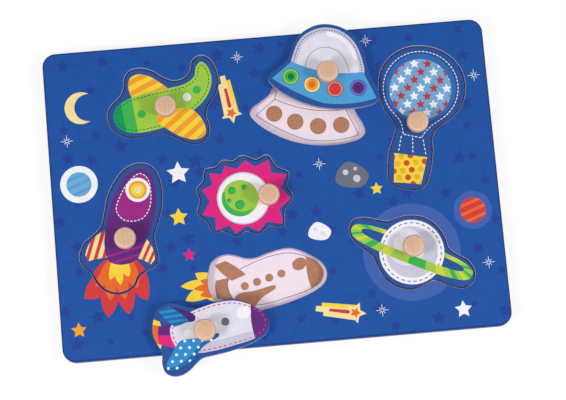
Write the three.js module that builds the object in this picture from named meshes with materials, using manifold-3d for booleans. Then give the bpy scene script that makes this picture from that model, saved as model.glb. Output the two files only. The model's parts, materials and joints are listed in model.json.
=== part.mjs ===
// Knob puzzle: a wooden tray with seven sawn pieces, each lifted by its own turned knob.
// Millimetres, +Z up. The origin is the middle of the tray's underside.
import * as THREE from 'three';
import { mergeVertices } from 'three/addons/utils/BufferGeometryUtils.js';
import Module from 'manifold-3d';

const wasm = await Module();
wasm.setup();

// Driving dimensions of the tray
const BOARD_LENGTH = 300;
const BOARD_WIDTH = 210;
const CORNER_RADIUS = 9;
const EDGE_ROUND = 1.2;
const FRAME_THICKNESS = 6;
const BACKING_THICKNESS = 3;

// Clearances
const SAW_GAP = 0.9; // left all round a piece where the saw ran
const LYING_GAP = 0.3; // under a piece that lies on the board
const SCREW_GAP = 0.3; // round a screw in its hole

// Turned knob
const KNOB_DIAMETER = 14.5;
const KNOB_HEIGHT = 13;
const KNOB_FOOT_DIAMETER = 11.6;
const KNOB_WAIST_DIAMETER = 10.4;
const KNOB_WAIST_HEIGHT = 4;
const KNOB_RIM_ROUND = 2.2;
const KNOB_CROWN = 0.4; // how far the middle of the top stands above its rim

// Countersunk wood screw that holds a knob from behind
const SCREW_DIAMETER = 3;
const SCREW_HEAD_DIAMETER = 6;
const SCREW_HEAD_RIM = 0.4;
const SCREW_HEAD_SINK = 0.3; // how far the head lies below the piece's back
const SCREW_BITE = 7; // length of the screw inside the knob
const SCREW_TIP = 2.4;
const DRIVE_SLOT_LENGTH = 3.2;
const DRIVE_SLOT_WIDTH = 0.8;
const DRIVE_SLOT_DEPTH = 1;

// Fineness of round shapes
const STEPS_PER_POINT = 4;
const KNOB_SIDES = 24;
const SCREW_SIDES = 16;
const ROUND_STEPS = 4;
const CORNER_STEPS = 10;
const EDGE_STEPS = 3;
const WELD_DISTANCE = 1e-5; // points nearer than this are one

// The drawing below is in units, on a board of this size. Its places spread out with the real board.
const DRAWING_UNIT = 1;
const DRAWN_LENGTH = 300 * DRAWING_UNIT;
const DRAWN_WIDTH = 210 * DRAWING_UNIT;

const BOARD_TOP = BACKING_THICKNESS + FRAME_THICKNESS;
const PIECE_THICKNESS = FRAME_THICKNESS; // the pieces are sawn out of the frame's own sheet
const SCREW_LENGTH = PIECE_THICKNESS - SCREW_HEAD_SINK + SCREW_BITE;
const SCREW_HEAD_HEIGHT = SCREW_HEAD_RIM + (SCREW_HEAD_DIAMETER - SCREW_DIAMETER) / 2;
const PILOT_DEPTH = SCREW_BITE + SCREW_GAP;
const CUTTER_OVERRUN = 1; // how far a cutting shape runs past the face it opens

// Each piece has its cut-out's outline, the place of its knob, and where the knob is when it lies on the board.
// Points are units from the middle of the board, x to the right and y away, clockwise round the shape.
const PIECES = [
  {
    name: 'plane',
    colour: 0x94c83d,
    knob: [-68.6, 60.6],
    outline: [
      [-108.6, 57.5], [-106, 65.5], [-99.5, 71.6], [-96.5, 77], [-95.4, 84], [-91, 89.3], [-84.5, 90.3],
      [-77, 88], [-69, 82.6], [-62.5, 79.7], [-54.5, 81.2], [-50.2, 86.3], [-48.6, 92.3], [-43, 95.7],
      [-37, 93], [-32.8, 85], [-31.8, 76], [-34.8, 67.5], [-40, 61], [-41.9, 54.5], [-40.5, 46],
      [-42.2, 38.6], [-48.5, 34.9], [-57, 36.4], [-65.5, 41.3], [-74, 44.6], [-84, 42.9], [-95.5, 43.2],
      [-104.2, 47.6],
    ],
  },
  {
    name: 'saucer',
    colour: 0x4f9fdb,
    knob: [28.5, 51.4],
    lying: { knob: [41.7, 73.5], turn: 0 },
    outline: [
      [-12.4, 52.1], [-10.5, 56], [-4.2, 60.1], [2.5, 65.2], [5.5, 72.5], [10.2, 79.7], [17.3, 84.8],
      [26.5, 87.4], [36.8, 86], [46.1, 80.9], [53, 73], [56.3, 64], [57, 55], [59, 46.5], [62.7, 39],
      [63.8, 33.3], [59.8, 29.1], [51, 26.9], [40, 26.4], [27, 27.7], [14, 31.5], [2, 37.7], [-8.2, 45.6],
    ],
  },
  {
    name: 'balloon',
    colour: 0x2b63b5,
    knob: [99.1, 35.5],
    outline: [
      [76, 61], [78.2, 74.5], [86.5, 84.3], [97, 89.1], [108, 89.4], [119, 85.9], [128, 78.8], [133.3, 70],
      [134.7, 60.5], [132.6, 49.5], [127, 41.2], [119.5, 35.6], [112, 30.8], [108.8, 25], [108.4, 17],
      [106.6, 7], [103.6, -2], [100.6, -7], [95.5, -9.2], [88, -8.1], [79.8, -4.9], [76.5, -0.5], [77, 9],
      [78.6, 18], [82.3, 27.5], [84.8, 34.5], [82.6, 41], [78.2, 48.5],
    ],
  },
  {
    name: 'rocket',
    colour: 0x6b2c82,
    knob: [-102.4, -26.3],
    outline: [
      [-91.5, 25.2], [-83.5, 23.6], [-78.2, 17.8], [-75.8, 8], [-76.4, -4], [-79.6, -15.5], [-83.2, -25],
      [-82.2, -34], [-81.6, -41], [-84.5, -45.8], [-90.5, -48.2], [-95.3, -51.5], [-98.5, -57.2],
      [-104, -61], [-111, -62.1], [-118.5, -59.3], [-124, -53.3], [-127.2, -46.8], [-132.5, -41.2],
      [-134.4, -35.5], [-131.2, -27], [-124, -20.8], [-118.4, -15.5], [-115.6, -6.5], [-112.4, 5],
      [-106.3, 15.2], [-99.5, 22.2],
    ],
  },
  {
    name: 'starburst',
    colour: 0xe0267f,
    knob: [-4.8, -5.2],
    outline: [
      [-45.6, 17], [-38.9, 18.1], [-33.2, 22.2], [-26.9, 21.2], [-20, 24.5], [-11.2, 20.9], [-3.6, 23.4],
      [2.8, 14.6], [9.9, 10.2], [8.2, 1], [11.4, -6.2], [5.2, -15.2], [3.2, -25.6], [-6.2, -25.2],
      [-14, -29.7], [-21.6, -27.3], [-28.6, -30], [-36.8, -26], [-43.8, -26.2], [-47.8, -18.6],
      [-53.3, -12.2], [-51.2, -4.1], [-52.5, 4.2], [-48, 9.2],
    ],
  },
  {
    name: 'shuttle',
    colour: 0xd5d0de,
    knob: [-14.2, -62.6],
    lying: { knob: [-54.4, -92.2], turn: -2.2 },
    outline: [
      [-49.2, -53], [-47, -46.8], [-42.3, -43.3], [-36.5, -41.9], [-30, -43.2], [-24, -45.5],
      [-17.5, -45.8], [-9, -43.4], [-1, -41.6], [6, -41.2], [13, -43.4], [20.5, -47.8], [26.5, -52.6],
      [29.4, -59], [27.4, -65.9], [20.7, -70.8], [11, -74.7], [1, -77.6], [-9, -79.6], [-16.5, -81.2],
      [-20.8, -84.6], [-25, -88.6], [-31, -91.8], [-37.5, -92.1], [-42.5, -89], [-44.4, -83], [-44.4, -76],
      [-47, -71], [-49.8, -65], [-50.2, -58.5],
    ],
  },
  {
    name: 'planet',
    colour: 0xe6e3ee,
    knob: [88.2, -48],
    outline: [
      [47, -32.8], [49.6, -26.4], [55.8, -24.5], [65, -26.4], [73.5, -28.5], [79.5, -26.9], [88, -25.8],
      [97.5, -27.8], [105.6, -34], [110.4, -42.4], [112.8, -50.6], [118.5, -55.3], [125, -60],
      [128.3, -67.5], [126.3, -74.4], [119.8, -77.9], [110.5, -75.5], [101, -71.2], [94.5, -73.4],
      [86, -75.7], [76, -73.5], [68.2, -67], [64.2, -59], [60.8, -50.6], [55.1, -45.4], [49.6, -40.1],
    ],
  },
];

// Where a point of the drawing lies on the real board
function place([x, y]) {
  const spread = new THREE.Vector2(BOARD_LENGTH / DRAWN_LENGTH, BOARD_WIDTH / DRAWN_WIDTH);
  return new THREE.Vector2(x, y).multiplyScalar(DRAWING_UNIT).multiply(spread);
}

// The smooth closed outline of a piece about its knob, drawn in from its cut-out by a gap
function outlineAboutKnob(piece, gap) {
  const [knobX, knobY] = piece.knob;
  const corners = piece.outline.map(([x, y]) => {
    return new THREE.Vector3(x - knobX, y - knobY, 0).multiplyScalar(DRAWING_UNIT);
  });
  const curve = new THREE.CatmullRomCurve3(corners, true, 'centripetal');
  const steps = corners.length * STEPS_PER_POINT;
  return Array.from({ length: steps }, (_, step) => {
    const point = curve.getPoint(step / steps);
    const along = curve.getTangent(step / steps);
    return new THREE.Vector2(point.x + along.y * gap, point.y - along.x * gap);
  });
}

// A flat plate of an outline, from z = 0 up
function plate(outline, thickness) {
  return new THREE.ExtrudeGeometry(new THREE.Shape(outline), { depth: thickness, bevelEnabled: false });
}

// A turned shape: the profile's points are [radius, height]
function turned(profile, sides) {
  const points = profile.map(([radius, height]) => new THREE.Vector2(radius, height));
  return new THREE.LatheGeometry(points, sides).rotateX(Math.PI / 2);
}

// A solid for joining and cutting, with its faces turned outwards
function solid(geometry) {
  const bare = geometry.index ? geometry.toNonIndexed() : geometry.clone();
  bare.deleteAttribute('normal');
  bare.deleteAttribute('uv');
  const merged = mergeVertices(bare, WELD_DISTANCE);
  const triangles = closedTriangles(merged);
  const mesh = new wasm.Mesh({
    numProp: 3,
    vertProperties: new Float32Array(merged.attributes.position.array),
    triVerts: new Uint32Array(triangles),
  });
  return new wasm.Manifold(mesh);
}

// The triangles that have an area, in the order that points them outwards
function closedTriangles(merged) {
  const index = merged.index.array;
  const corner = [new THREE.Vector3(), new THREE.Vector3(), new THREE.Vector3()];
  const triangles = [];
  let volume = 0;
  for (let i = 0; i < index.length; i += 3) {
    const [a, b, c] = [index[i], index[i + 1], index[i + 2]];
    if (a === b || b === c || c === a) continue;
    [a, b, c].forEach((vertex, k) => corner[k].fromBufferAttribute(merged.attributes.position, vertex));
    volume += corner[0].dot(corner[1].clone().cross(corner[2]));
    triangles.push([a, b, c]);
  }
  return triangles.flatMap(([a, b, c]) => (volume > 0 ? [a, b, c] : [a, c, b]));
}

// The geometry of a finished solid
function geometryOf(body) {
  const { vertProperties, triVerts } = body.getMesh();
  const geometry = new THREE.BufferGeometry();
  geometry.setAttribute('position', new THREE.BufferAttribute(vertProperties, 3));
  geometry.setIndex(new THREE.BufferAttribute(triVerts, 1));
  geometry.computeVertexNormals();
  return geometry;
}

function meshOf(name, geometry, colour, roughness, metalness) {
  const mesh = new THREE.Mesh(geometry, new THREE.MeshStandardMaterial({ color: colour, roughness, metalness }));
  mesh.name = name;
  return mesh;
}

// Outline of the tray: a rectangle with rounded corners
function boardShape() {
  const halfLength = BOARD_LENGTH / 2;
  const halfWidth = BOARD_WIDTH / 2;
  const shape = new THREE.Shape();
  shape.absarc(halfLength - CORNER_RADIUS, halfWidth - CORNER_RADIUS, CORNER_RADIUS, 0, Math.PI / 2);
  shape.absarc(CORNER_RADIUS - halfLength, halfWidth - CORNER_RADIUS, CORNER_RADIUS, Math.PI / 2, Math.PI);
  shape.absarc(CORNER_RADIUS - halfLength, CORNER_RADIUS - halfWidth, CORNER_RADIUS, Math.PI, Math.PI * 1.5);
  shape.absarc(halfLength - CORNER_RADIUS, CORNER_RADIUS - halfWidth, CORNER_RADIUS, Math.PI * 1.5, Math.PI * 2);
  return shape;
}

// The glued tray in one piece, with its outer edges rounded, before it is parted into its two sheets
function trayBlank() {
  const blank = new THREE.ExtrudeGeometry(boardShape(), {
    depth: BOARD_TOP - 2 * EDGE_ROUND,
    curveSegments: CORNER_STEPS,
    bevelThickness: EDGE_ROUND,
    bevelSize: EDGE_ROUND,
    bevelOffset: -EDGE_ROUND,
    bevelSegments: EDGE_STEPS,
  });
  return solid(blank.translate(0, 0, EDGE_ROUND));
}

// A block that takes in one sheet of the tray
function sheetBlock(bottom, top) {
  const block = new THREE.BoxGeometry(2 * BOARD_LENGTH, 2 * BOARD_WIDTH, top - bottom);
  return solid(block.translate(0, 0, (bottom + top) / 2));
}

// The hole that the saw leaves for a piece
function cutOut(piece) {
  const seat = place(piece.knob);
  const hole = plate(outlineAboutKnob(piece, 0), FRAME_THICKNESS + 2 * CUTTER_OVERRUN);
  return solid(hole.translate(seat.x, seat.y, BACKING_THICKNESS - CUTTER_OVERRUN));
}

function boardFrame() {
  const sheet = trayBlank().intersect(sheetBlock(BACKING_THICKNESS, BOARD_TOP + CUTTER_OVERRUN));
  const sawn = PIECES.reduce((frame, piece) => frame.subtract(cutOut(piece)), sheet);
  return meshOf('board_frame', geometryOf(sawn), 0x2855a5, 0.5, 0);
}

function backingPanel() {
  const sheet = trayBlank().intersect(sheetBlock(-CUTTER_OVERRUN, BACKING_THICKNESS));
  return meshOf('backing_panel', geometryOf(sheet), 0xb8805f, 0.7, 0);
}

// Drill for a screw hole with its countersink, about the piece's back
function screwDrill() {
  const hole = SCREW_DIAMETER / 2 + SCREW_GAP;
  const sink = SCREW_HEAD_DIAMETER / 2 + SCREW_GAP;
  const shoulder = SCREW_HEAD_SINK + SCREW_HEAD_RIM;
  const drill = turned(
    [
      [0, -CUTTER_OVERRUN],
      [sink, -CUTTER_OVERRUN],
      [sink, shoulder],
      [hole, shoulder + sink - hole],
      [hole, PIECE_THICKNESS + CUTTER_OVERRUN],
      [0, PIECE_THICKNESS + CUTTER_OVERRUN],
    ],
    SCREW_SIDES,
  );
  return solid(drill);
}

function sawnPiece(piece) {
  const blank = solid(plate(outlineAboutKnob(piece, SAW_GAP), PIECE_THICKNESS));
  const drilled = blank.subtract(screwDrill());
  return meshOf(`${piece.name}_piece`, geometryOf(drilled), piece.colour, 0.5, 0);
}

// A knob stands on z = 0, with a blind hole for its screw
function knob(piece) {
  const pilot = SCREW_DIAMETER / 2 + SCREW_GAP;
  const rim = KNOB_DIAMETER / 2;
  const shoulder = KNOB_HEIGHT - KNOB_CROWN - KNOB_RIM_ROUND;
  const round = Array.from({ length: ROUND_STEPS + 1 }, (_, step) => {
    const angle = (step / ROUND_STEPS) * (Math.PI / 2);
    const out = rim - KNOB_RIM_ROUND + KNOB_RIM_ROUND * Math.cos(angle);
    return [out, shoulder + KNOB_RIM_ROUND * Math.sin(angle)];
  });
  const profile = [
    [0, PILOT_DEPTH],
    [pilot, PILOT_DEPTH],
    [pilot, 0],
    [KNOB_FOOT_DIAMETER / 2, 0],
    [KNOB_WAIST_DIAMETER / 2, KNOB_WAIST_HEIGHT],
    [rim, (KNOB_WAIST_HEIGHT + shoulder) / 2],
    ...round,
    [0, KNOB_HEIGHT],
  ];
  const body = solid(turned(profile, KNOB_SIDES));
  return meshOf(`${piece.name}_knob`, geometryOf(body), 0xd8b48f, 0.55, 0);
}

// A screw points up from its head's flat end at z = 0, which has a cross for the driver
function screw(piece) {
  const shank = SCREW_DIAMETER / 2;
  const head = SCREW_HEAD_DIAMETER / 2;
  const profile = [
    [0, 0],
    [head, 0],
    [head, SCREW_HEAD_RIM],
    [shank, SCREW_HEAD_HEIGHT],
    [shank, SCREW_LENGTH - SCREW_TIP],
    [0, SCREW_LENGTH],
  ];
  const slot = new THREE.BoxGeometry(DRIVE_SLOT_LENGTH, DRIVE_SLOT_WIDTH, 2 * DRIVE_SLOT_DEPTH);
  const cross = solid(slot).add(solid(slot.clone().rotateZ(Math.PI / 2)));
  const body = solid(turned(profile, SCREW_SIDES)).subtract(cross);
  return meshOf(`${piece.name}_screw`, geometryOf(body), 0xb9bbbd, 0.35, 1);
}

// A piece with its knob and screw, in its cut-out or lying on the board
function knobbedPiece(piece) {
  const group = new THREE.Group();
  const at = place(piece.lying ? piece.lying.knob : piece.knob);
  const under = piece.lying ? BOARD_TOP + LYING_GAP : BACKING_THICKNESS;
  group.position.set(at.x, at.y, under);
  group.rotation.z = THREE.MathUtils.degToRad(piece.lying ? piece.lying.turn : 0);
  const knobMesh = knob(piece);
  knobMesh.position.z = PIECE_THICKNESS;
  const screwMesh = screw(piece);
  screwMesh.position.z = SCREW_HEAD_SINK;
  return group.add(sawnPiece(piece), knobMesh, screwMesh);
}

const puzzle = new THREE.Group();
puzzle.add(boardFrame(), backingPanel());
PIECES.forEach((piece) => puzzle.add(knobbedPiece(piece)));

export default puzzle;
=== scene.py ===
# %% [markdown]
# # A wooden knob puzzle
#
# The real toy is a plywood sheet with seven pieces sawn out of it, glued on a brown hardboard back.
# Each piece is printed on top and has a turned beech knob, held by one screw from behind.
# Two pieces lie out on the board, so their empty cut-outs show the print on the hardboard.
#
# The solids are already measured, so this lesson never decides where a piece goes. It reads each
# solid's edge, builds a finer mesh on that edge and gives it a printed, sawn or turned finish.

# %% Load the measured solids
import json
import random
from collections import namedtuple
from math import acos, atan2, copysign, cos, degrees, pi, radians, sin

import bmesh
import bpy
from mathutils import Matrix, Vector
from mathutils.geometry import delaunay_2d_cdt

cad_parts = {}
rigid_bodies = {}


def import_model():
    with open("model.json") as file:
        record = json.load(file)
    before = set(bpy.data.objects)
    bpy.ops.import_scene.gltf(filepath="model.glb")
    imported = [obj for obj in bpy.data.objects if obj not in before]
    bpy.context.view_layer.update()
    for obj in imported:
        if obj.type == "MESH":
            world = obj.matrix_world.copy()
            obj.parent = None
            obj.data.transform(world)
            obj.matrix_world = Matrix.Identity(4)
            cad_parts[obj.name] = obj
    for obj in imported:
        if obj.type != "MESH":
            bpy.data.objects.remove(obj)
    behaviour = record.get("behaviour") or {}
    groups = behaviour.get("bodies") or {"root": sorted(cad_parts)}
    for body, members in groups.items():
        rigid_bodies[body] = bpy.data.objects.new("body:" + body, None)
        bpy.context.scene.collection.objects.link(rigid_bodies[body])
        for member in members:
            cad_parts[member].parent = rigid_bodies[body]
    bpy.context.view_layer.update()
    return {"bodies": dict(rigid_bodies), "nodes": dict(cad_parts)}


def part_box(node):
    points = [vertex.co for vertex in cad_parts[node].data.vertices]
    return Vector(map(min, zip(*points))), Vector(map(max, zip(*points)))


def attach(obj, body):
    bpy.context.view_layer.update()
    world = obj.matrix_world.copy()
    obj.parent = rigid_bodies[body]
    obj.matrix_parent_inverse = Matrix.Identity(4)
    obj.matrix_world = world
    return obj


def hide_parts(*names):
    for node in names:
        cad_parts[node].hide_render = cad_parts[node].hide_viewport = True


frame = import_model()
MM = 0.001
PIECES = [body for body in frame["bodies"] if body != "tray"]
TRAY_LOW, TRAY_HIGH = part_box("board_frame")
TRAY_TOP = TRAY_HIGH.z
print("solids:", len(frame["nodes"]), "pieces that lift out:", PIECES)

# %% [markdown]
# ## Camera
#
# The photograph looks almost straight down from a little over a metre away with a long lens, so the
# board hardly narrows. The camera could be aimed by eye, but here its place, its aim and its roll were
# worked out from the four corners of the board, which lets every later difference be a real one.

# %% Camera at the photograph's angle
PHOTO_WIDTH = 566
FOCAL_PIXELS = 2000
SENSOR_WIDTH = 36
CAMERA_AT = Vector((-26.0, -213.2, 1335.7)) * MM
CAMERA_AIM = Vector((4.6, -8.3, 9.0)) * MM
CAMERA_ROLL = radians(-5.08)

behind = (CAMERA_AT - CAMERA_AIM).normalized()
right = Vector((0, 1, 0)).cross(behind).normalized()
upright = Matrix((right, behind.cross(right), behind)).transposed()
rolled = upright @ Matrix.Rotation(CAMERA_ROLL, 3, "Z")

bpy.ops.object.select_all(action="DESELECT")
bpy.ops.object.camera_add(location=CAMERA_AT, rotation=rolled.to_euler())
camera = bpy.context.object
camera.data.sensor_width = SENSOR_WIDTH
camera.data.lens = SENSOR_WIDTH * FOCAL_PIXELS / PHOTO_WIDTH
bpy.context.scene.camera = camera
print("lens in mm:", round(camera.data.lens, 1))

# %% [markdown]
# ## Short ways to build node trees
#
# By hand, a finish is put together in the Shader editor: nodes are added and their sockets joined. These
# helpers do that in one line each. They place a node, type a value into a socket or link it, do one sum,
# stretch a range of numbers or mix two colours.

# %% Helpers for node trees
NOISE_RANGE = (0.3, 0.7)
MIX_SOCKETS = (0, 6, 7)
MIX_RESULT = 2


def plug(tree, value, socket):
    """Links a socket, or types in a plain value."""
    if isinstance(value, bpy.types.NodeSocket):
        tree.links.new(value, socket)
    else:
        socket.default_value = value


def place_node(tree, kind, **inputs):
    """Adds a node and fills its inputs, whose names have _ for a space."""
    node = tree.nodes.new(kind)
    for name, value in inputs.items():
        plug(tree, value, node.inputs[name.replace("_", " ")])
    return node


def calc(tree, operation, first, second=0.0):
    node = tree.nodes.new("ShaderNodeMath")
    node.operation = operation
    plug(tree, first, node.inputs[0])
    plug(tree, second, node.inputs[1])
    return node.outputs[0]


def spread(tree, value, to_low, to_high, span=NOISE_RANGE):
    """Stretches a number from its span, which is a noise's if none is given, and stops at the ends."""
    limits = {"From_Min": span[0], "From_Max": span[1], "To_Min": to_low, "To_Max": to_high}
    return place_node(tree, "ShaderNodeMapRange", Value=value, **limits).outputs[0]


def mixed(tree, blend, factor, first, second):
    """Mixes two colours. The node has other sockets for numbers, so the colours' are found by place."""
    node = tree.nodes.new("ShaderNodeMix")
    node.data_type = "RGBA"
    node.blend_type = blend
    for value, place in zip((factor, first, second), MIX_SOCKETS):
        plug(tree, value, node.inputs[place])
    return node.outputs[MIX_RESULT]


def times(tree, shown, share):
    """A colour made darker or lighter by a number."""
    return mixed(tree, "MULTIPLY", 1.0, shown, share)


def new_finish(name, roughness, specular):
    material = bpy.data.materials.new(name)
    material.use_nodes = True
    shader = material.node_tree.nodes["Principled BSDF"].inputs
    shader["Roughness"].default_value = roughness
    shader["Specular IOR Level"].default_value = specular
    return material, material.node_tree, shader


print("a noise is read from", NOISE_RANGE)

# %% [markdown]
# ## Light and floor
#
# A toy like this is photographed in a white tent: light comes from all round, with two large lamps
# at the left and the right, a little in front, that send soft shadows of the knobs to both sides.
# A pale sky gives the tent, and two area lamps give the direction. Their strength is set so that every
# ink comes out about as it is written. The floor is pale paper. Where the camera or a shiny surface
# looks at it, most of it is plain white, so the background stays white and the toy's shadow stays
# a faint one.

# %% Sky and lamps
SKY_STRENGTH = 0.48
LAMP_SIZE = 0.34
LAMPS = {
    "lamp_left": (Vector((-0.86, -0.44, 0.98)), 6.6),
    "lamp_right": (Vector((0.88, -0.38, 0.98)), 6.4),
}

bpy.context.scene.view_settings.view_transform = "Standard"
sky = bpy.data.worlds.new("white_tent")
sky.use_nodes = True
tent = sky.node_tree.nodes["Background"].inputs
tent["Color"].default_value = (1, 1, 1, 1)
tent["Strength"].default_value = SKY_STRENGTH
bpy.context.scene.world = sky

for lamp_name, (place, watts) in LAMPS.items():
    aim = (CAMERA_AIM - place).to_track_quat("-Z", "Y").to_euler()
    bpy.ops.object.light_add(type="AREA", location=place, rotation=aim)
    lamp = bpy.context.object
    lamp.name = lamp_name
    lamp.data.size = LAMP_SIZE
    lamp.data.energy = watts
print("lamps:", list(LAMPS), "sky:", SKY_STRENGTH)

# %% Floor
FLOOR_SIZE = 6.0
FLOOR_GAP = 0.05 * MM
FLOOR_PAPER = (0.93, 0.93, 0.93, 1)
FLOOR_WHITE = 0.8
FLOOR_GLOW = 1.04

bpy.ops.object.select_all(action="DESELECT")
bpy.ops.mesh.primitive_plane_add(size=FLOOR_SIZE, location=(0, 0, -FLOOR_GAP))
floor = bpy.context.object
floor.name = "floor"
bpy.ops.object.transform_apply(location=True)

pale_floor, tree, shader = new_finish("pale_floor", 0.9, 0.0)
plug(tree, FLOOR_PAPER, shader["Base Color"])
glow = place_node(tree, "ShaderNodeEmission", Strength=FLOOR_GLOW)
seen = tree.nodes.new("ShaderNodeLightPath").outputs
looks = seen["Is Camera Ray"]
for ray in ("Is Glossy Ray", "Is Transmission Ray"):
    looks = calc(tree, "MAXIMUM", looks, seen[ray])
blend = tree.nodes.new("ShaderNodeMixShader")
plug(tree, calc(tree, "MULTIPLY", looks, FLOOR_WHITE), blend.inputs[0])
plug(tree, tree.nodes["Principled BSDF"].outputs[0], blend.inputs[1])
plug(tree, glow.outputs[0], blend.inputs[2])
plug(tree, blend.outputs[0], tree.nodes["Material Output"].inputs["Surface"])
floor.data.materials.append(pale_floor)
print("floor in metres:", FLOOR_SIZE)

# %% [markdown]
# ## Drawing with shapes
#
# The print is made of flat inks with crisp edges. An image could hold it, but it would blur when seen
# close. Here every ink is a closed loop of points in millimetres on the board, and later the mesh of
# each printed face is cut along those loops, so the print is as sharp as the mesh.
# A drawing keeps its shapes in the order that they are printed, and a shape can be kept within
# an earlier one, as stripes are kept within a wing.

# %% Curves through points
def sides(loop):
    """Each point of a closed loop with the one after it."""
    return zip(loop, loop[1:] + loop[:1])


def smooth(points, per=6):
    """A closed smooth curve through points."""
    count = len(points)
    loop = []
    for i in range(count):
        p0, p1, p2, p3 = (Vector(points[(i + k) % count]) for k in (-1, 0, 1, 2))
        t1, t2, t3 = ((b - a).length ** 0.5 for a, b in ((p0, p1), (p1, p2), (p2, p3)))
        leave = ((p1 - p0) / t1 - (p2 - p0) / (t1 + t2) + (p2 - p1) / t2) * t2
        arrive = ((p2 - p1) / t2 - (p3 - p1) / (t2 + t3) + (p3 - p2) / t3) * t2
        for step in range(per):
            t = step / per
            near = (2 * t**3 - 3 * t**2 + 1) * p1 + (t**3 - 2 * t**2 + t) * leave
            far = (3 * t**2 - 2 * t**3) * p2 + (t**3 - t**2) * arrive
            loop.append(near + far)
    return loop


def curved(corners, per=10):
    """A closed loop of corners (x, y, bulge): each side bows out by its bulge times its length."""
    loop = []
    for (x, y, bulge), (next_x, next_y, _) in sides(corners):
        start = Vector((x, y))
        side = Vector((next_x, next_y)) - start
        out = Vector((side.y, -side.x)) * bulge
        for step in range(per if bulge else 1):
            t = step / per
            loop.append(start + side * t + out * (4 * t * (1 - t)))
    return loop


print("points of a smooth triangle:", len(smooth([(0, 0), (4, 0), (2, 3)])))

# %% Discs, arcs and stars
def polar(angle, reach=1.0):
    """A point at an angle and a distance."""
    return reach * Vector((cos(angle), sin(angle)))


def disc(centre, radius, height=None, turn=0.0, count=48):
    """A circle, or an ellipse if it has a height of its own, turned by an angle in degrees."""
    lie = Matrix.Rotation(radians(turn), 2)
    angles = (2 * pi * k / count for k in range(count))
    level = (Vector((radius * cos(a), (height or radius) * sin(a))) for a in angles)
    return [Vector(centre) + lie @ point for point in level]


def arc(centre, radius, first, last, count=30):
    """Part of a circle between two angles."""
    angles = (first + (last - first) * k / count for k in range(count))
    return [Vector(centre) + polar(a, radius) for a in angles]


def star(centre, outer, inner, turn=90.0, tips=5):
    """A star with straight sides, whose first tip points at an angle in degrees."""
    angles = (radians(turn) + pi * k / tips for k in range(2 * tips))
    return [Vector(centre) + polar(a, inner if k % 2 else outer) for k, a in enumerate(angles)]


print("points of a star:", len(star((0, 0), 2, 1)))

# %% Bands, margins and stitches
MITRE_LIMIT = 0.3
NO_LENGTH = 1e-9


def bar(start, end, width, end_width=None):
    """A straight band from one point to another, which may taper."""
    start, end = Vector(start), Vector(end)
    along = (end - start).normalized()
    side = Vector((-along.y, along.x)) / 2
    tip = width if end_width is None else end_width
    return [start - side * width, end - side * tip, end + side * tip, start + side * width]


def stripes(centre, turn, pitch, width, count, reach=60.0):
    """Parallel bands across a point, at an angle in degrees."""
    along = polar(radians(turn))
    across = Vector((-along.y, along.x))
    middles = (Vector(centre) + across * pitch * (k - (count - 1) / 2) for k in range(count))
    return [bar(middle - along * reach, middle + along * reach, width) for middle in middles]


def signed_area(loop):
    return sum(a.x * b.y - b.x * a.y for a, b in sides(loop)) / 2


def offset(loop, by):
    """The loop moved outwards by a distance, or inwards if it is negative."""
    facing = 1 if signed_area(loop) > 0 else -1
    moved = []
    for before, here, after in zip(loop[-1:] + loop[:-1], loop, loop[1:] + loop[:1]):
        arrive, leave = (here - before).normalized(), (after - here).normalized()
        mean = Vector((arrive.y + leave.y, -arrive.x - leave.x)) / 2 * facing
        moved.append(here + mean * by / max(mean.length_squared, MITRE_LIMIT))
    return moved


def dashes(path, dash, gap, width, closed=True):
    """Short stitches along a path."""
    points = list(path) + (list(path[:1]) if closed else [])
    walked = [0.0]
    for a, b in zip(points, points[1:]):
        walked.append(walked[-1] + (Vector(b) - Vector(a)).length)

    def at(distance):
        k = max(i for i in range(len(points) - 1) if walked[i] <= distance)
        share = (distance - walked[k]) / max(walked[k + 1] - walked[k], NO_LENGTH)
        return Vector(points[k]).lerp(Vector(points[k + 1]), share)

    count = int(walked[-1] // (dash + gap))
    pitch = walked[-1] / max(count, 1)
    return [bar(at(k * pitch), at(k * pitch + dash), width) for k in range(count)]


print("stitches along 20 mm:", len(dashes([(0, 0), (20, 0)], 2, 1, 0.5, closed=False)))

# %% A drawing
BARE = "bare"
LINE = "line"
Shape = namedtuple("Shape", "ink loop within floor")


class Drawing:
    """Flat inks in the order that they are printed.

    A shape can be kept within an earlier one. It can also show on the floor of the cut-out, as a line
    or as bare hardboard.
    """

    def __init__(self):
        self.shapes = []

    def add(self, ink, loop, within=None, floor=None):
        points = [Vector(p) for p in loop]
        if signed_area(points) < 0:
            points.reverse()
        self.shapes.append(Shape(ink, points, within, floor))
        return len(self.shapes) - 1

    def add_all(self, ink, loops, within=None):
        for loop in loops:
            self.add(ink, loop, within)

    def add_striped(self, inks, loop, *bands):
        """A shape that is bare on the floor, with stripes of a second ink kept within it."""
        ground, stripe = inks
        self.add_all(stripe, stripes(*bands), self.add(ground, loop, floor=BARE))


print("shapes of an empty drawing:", len(Drawing().shapes))

# %% [markdown]
# ## Colours
#
# Printed ink has flat, strong colours. Each is written as the screen shows it and named for what it
# prints, and the woods and the steel are written the same way, so that a colour can be changed in one
# place. Blender works in amounts of light, so a colour is turned into those when it is used.

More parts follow.
